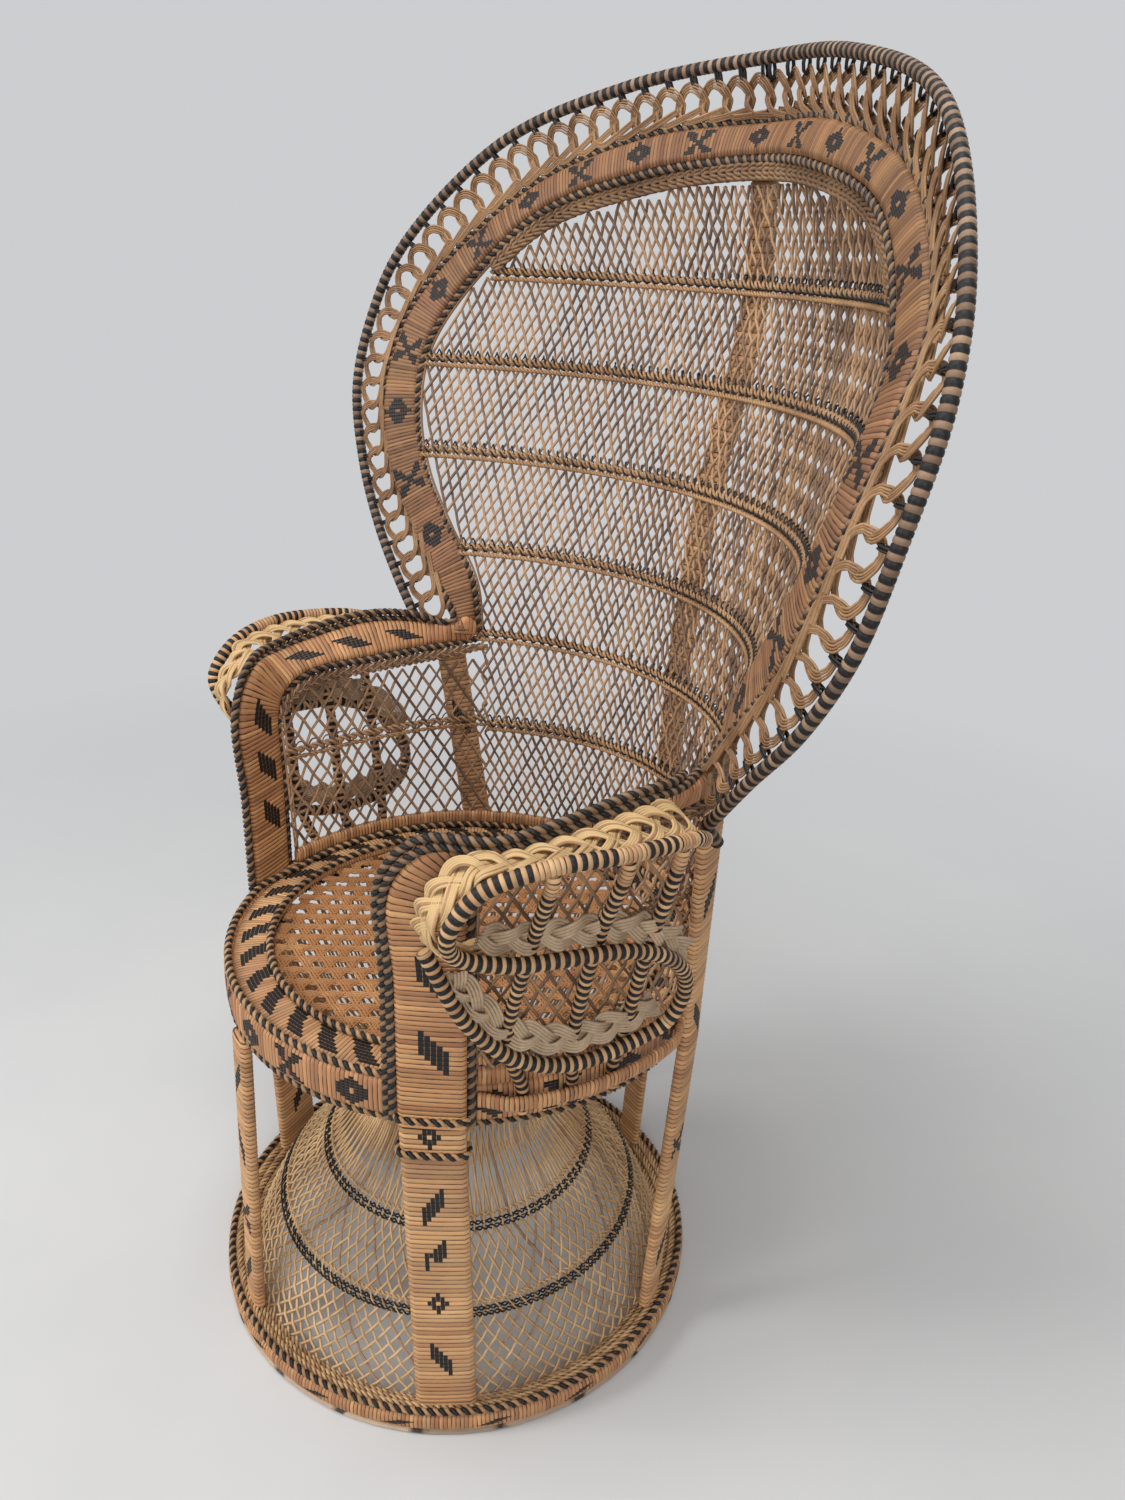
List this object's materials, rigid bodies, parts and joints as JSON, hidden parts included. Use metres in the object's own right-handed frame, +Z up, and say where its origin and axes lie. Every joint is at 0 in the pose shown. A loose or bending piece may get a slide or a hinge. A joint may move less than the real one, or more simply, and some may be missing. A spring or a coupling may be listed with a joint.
{
  "type": "peacock chair",
  "caption": "Woven cane peacock chair with a round seat on a drum base with an hourglass skirt, scrolled arms and a tall fan-shaped back in a hoop with a chain of rings.",
  "frame": {"origin": "on the floor, under the middle of the whole chair's box", "axes": "+Z up, -Y the way the sitter faces, +X the sitter's left, which is the right-hand side seen from the front"},
  "size_m": [0.9858, 0.659, 1.3858],
  "materials": {
    "wrapped_cane": "flat cane wrapped closely round the frame, satin, orange-tan with black motifs",
    "lattice_cane": "thin round cane, satin, natural tan",
    "braid_cane": "two-tone twisted cane braid, dark and pale strands",
    "striped_pole": "pole wrapped in black and natural cane stripes, satin",
    "dark_twine": "dark stained twined cane, satin",
    "pale_cane": "pale natural cane, satin",
    "seat_cane": "woven flat cane, satin, dark orange"
  },
  "bodies": {
    "root": {"floor_strip": "pale_cane", "base_band": "wrapped_cane", "base_braid": "braid_cane", "skirt_lattice": "lattice_cane", "skirt_twine_lower": "dark_twine", "skirt_twine_upper": "dark_twine", "seat_apron": "wrapped_cane", "seat_band": "wrapped_cane", "apron_braid": "braid_cane", "seat_inner_braid": "braid_cane", "seat_edge_braid": "braid_cane", "seat_panel": "seat_cane", "back_band": "wrapped_cane", "inner_braid": "braid_cane", "outer_braid": "braid_cane", "front_leg": "wrapped_cane", "back_lattice": "lattice_cane", "back_slat": "wrapped_cane", "hoop": "striped_pole", "ring_chain": "pale_cane", "back_row_1": "dark_twine", "back_row_2": "dark_twine", "back_row_3": "dark_twine", "back_row_4": "dark_twine", "back_row_5": "dark_twine", "back_row_6": "dark_twine", "arm_band_left": "wrapped_cane", "arm_post_left": "wrapped_cane", "rear_post_left": "wrapped_cane", "arm_lattice_left": "lattice_cane", "arm_row_left": "dark_twine", "scroll_rail_left": "striped_pole", "lower_rail_left": "striped_pole", "arm_plait_left": "pale_cane", "arm_spoke_left_1": "striped_pole", "arm_spoke_left_2": "striped_pole", "arm_spoke_left_3": "striped_pole", "arm_band_right": "wrapped_cane", "arm_post_right": "wrapped_cane", "rear_post_right": "wrapped_cane", "arm_lattice_right": "lattice_cane", "arm_row_right": "dark_twine", "scroll_rail_right": "striped_pole", "lower_rail_right": "striped_pole", "arm_plait_right": "pale_cane", "arm_spoke_right_1": "striped_pole", "arm_spoke_right_2": "striped_pole", "arm_spoke_right_3": "striped_pole"}
  },
  "joints": []
}
